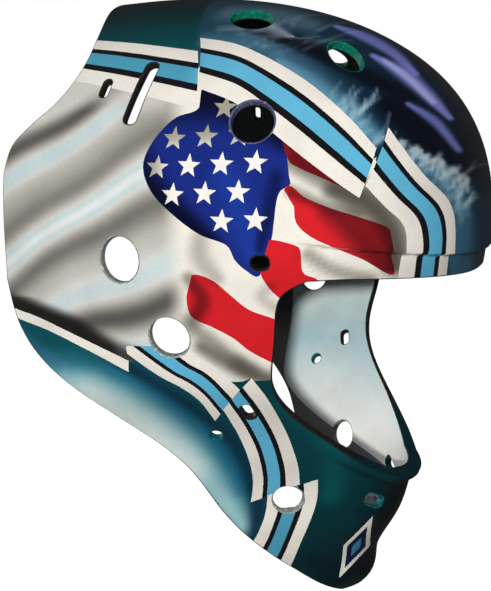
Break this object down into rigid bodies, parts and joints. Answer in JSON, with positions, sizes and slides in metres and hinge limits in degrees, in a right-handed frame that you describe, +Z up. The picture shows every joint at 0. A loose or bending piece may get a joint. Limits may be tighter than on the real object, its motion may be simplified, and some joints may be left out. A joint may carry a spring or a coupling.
{
  "type": "goalie mask",
  "caption": "Ice hockey goalie mask: a rigid painted shell with a face opening, vents and strap slots, lined with pull-off foam pads.",
  "frame": {"origin": "middle of the wearer's head, level with the ears, in the shell's middle plane", "axes": "+X to the wearer's left, -Y where the face looks, +Z up"},
  "size_m": [0.236, 0.202, 0.3062],
  "materials": {
    "shell_paint": "airbrushed artwork under glossy clear coat",
    "foam": "closed-cell foam with a knit face",
    "hook_tape": "hook tape",
    "loop_cloth": "brushed loop cloth",
    "towel_cloth": "terry towelling"
  },
  "bodies": {
    "shell": {"shell": "shell_paint", "forehead_hook_patch": "hook_tape", "brow_hook_patch": "hook_tape", "crown_hook_patch": "hook_tape", "chin_hook_patch": "hook_tape", "temple_right_hook_patch": "hook_tape", "temple_left_hook_patch": "hook_tape", "ear_right_hook_patch": "hook_tape", "ear_left_hook_patch": "hook_tape", "cheek_right_hook_patch": "hook_tape", "cheek_left_hook_patch": "hook_tape", "jaw_right_hook_patch": "hook_tape", "jaw_left_hook_patch": "hook_tape"},
    "forehead_pad": {"forehead_pad": "foam", "forehead_loop_backing": "loop_cloth"},
    "brow_pad": {"brow_pad": "towel_cloth", "brow_loop_backing": "loop_cloth"},
    "crown_pad": {"crown_pad": "foam", "crown_loop_backing": "loop_cloth"},
    "chin_pad": {"chin_pad": "foam", "chin_loop_backing": "loop_cloth"},
    "temple_right_pad": {"temple_right_pad": "foam", "temple_right_loop_backing": "loop_cloth"},
    "temple_left_pad": {"temple_left_pad": "foam", "temple_left_loop_backing": "loop_cloth"},
    "ear_right_pad": {"ear_right_pad": "foam", "ear_right_loop_backing": "loop_cloth"},
    "ear_left_pad": {"ear_left_pad": "foam", "ear_left_loop_backing": "loop_cloth"},
    "cheek_right_pad": {"cheek_right_pad": "foam", "cheek_right_loop_backing": "loop_cloth"},
    "cheek_left_pad": {"cheek_left_pad": "foam", "cheek_left_loop_backing": "loop_cloth"},
    "jaw_right_pad": {"jaw_right_pad": "foam", "jaw_right_loop_backing": "loop_cloth"},
    "jaw_left_pad": {"jaw_left_pad": "foam", "jaw_left_loop_backing": "loop_cloth"}
  },
  "joints": [
    {"name": "forehead_pad_pull", "type": "slide", "parent": "shell", "child": "forehead_pad", "axis": [0, 1, 0], "range_m": [0, 0.012]},
    {"name": "brow_pad_pull", "type": "slide", "parent": "shell", "child": "brow_pad", "axis": [0, 1, 0], "range_m": [0, 0.012]},
    {"name": "crown_pad_pull", "type": "slide", "parent": "shell", "child": "crown_pad", "axis": [0, 0, -1], "range_m": [0, 0.012]},
    {"name": "chin_pad_pull", "type": "slide", "parent": "shell", "child": "chin_pad", "axis": [0, 1, 0], "range_m": [0, 0.012]},
    {"name": "temple_right_pad_pull", "type": "slide", "parent": "shell", "child": "temple_right_pad", "axis": [0.9981, 0.028, -0.055], "range_m": [0, 0.012]},
    {"name": "temple_left_pad_pull", "type": "slide", "parent": "shell", "child": "temple_left_pad", "axis": [-0.9981, 0.028, -0.055], "range_m": [0, 0.012]},
    {"name": "ear_right_pad_pull", "type": "slide", "parent": "shell", "child": "ear_right_pad", "axis": [0.9942, -0.105, -0.024], "range_m": [0, 0.012]},
    {"name": "ear_left_pad_pull", "type": "slide", "parent": "shell", "child": "ear_left_pad", "axis": [-0.9942, -0.105, -0.024], "range_m": [0, 0.012]},
    {"name": "cheek_right_pad_pull", "type": "slide", "parent": "shell", "child": "cheek_right_pad", "axis": [0.9915, -0.023, 0.1281], "range_m": [0, 0.012]},
    {"name": "cheek_left_pad_pull", "type": "slide", "parent": "shell", "child": "cheek_left_pad", "axis": [-0.9915, -0.023, 0.1281], "range_m": [0, 0.012]},
    {"name": "jaw_right_pad_pull", "type": "slide", "parent": "shell", "child": "jaw_right_pad", "axis": [0.8481, 0.3951, 0.353], "range_m": [0, 0.012]},
    {"name": "jaw_left_pad_pull", "type": "slide", "parent": "shell", "child": "jaw_left_pad", "axis": [-0.8481, 0.3951, 0.353], "range_m": [0, 0.012]}
  ]
}
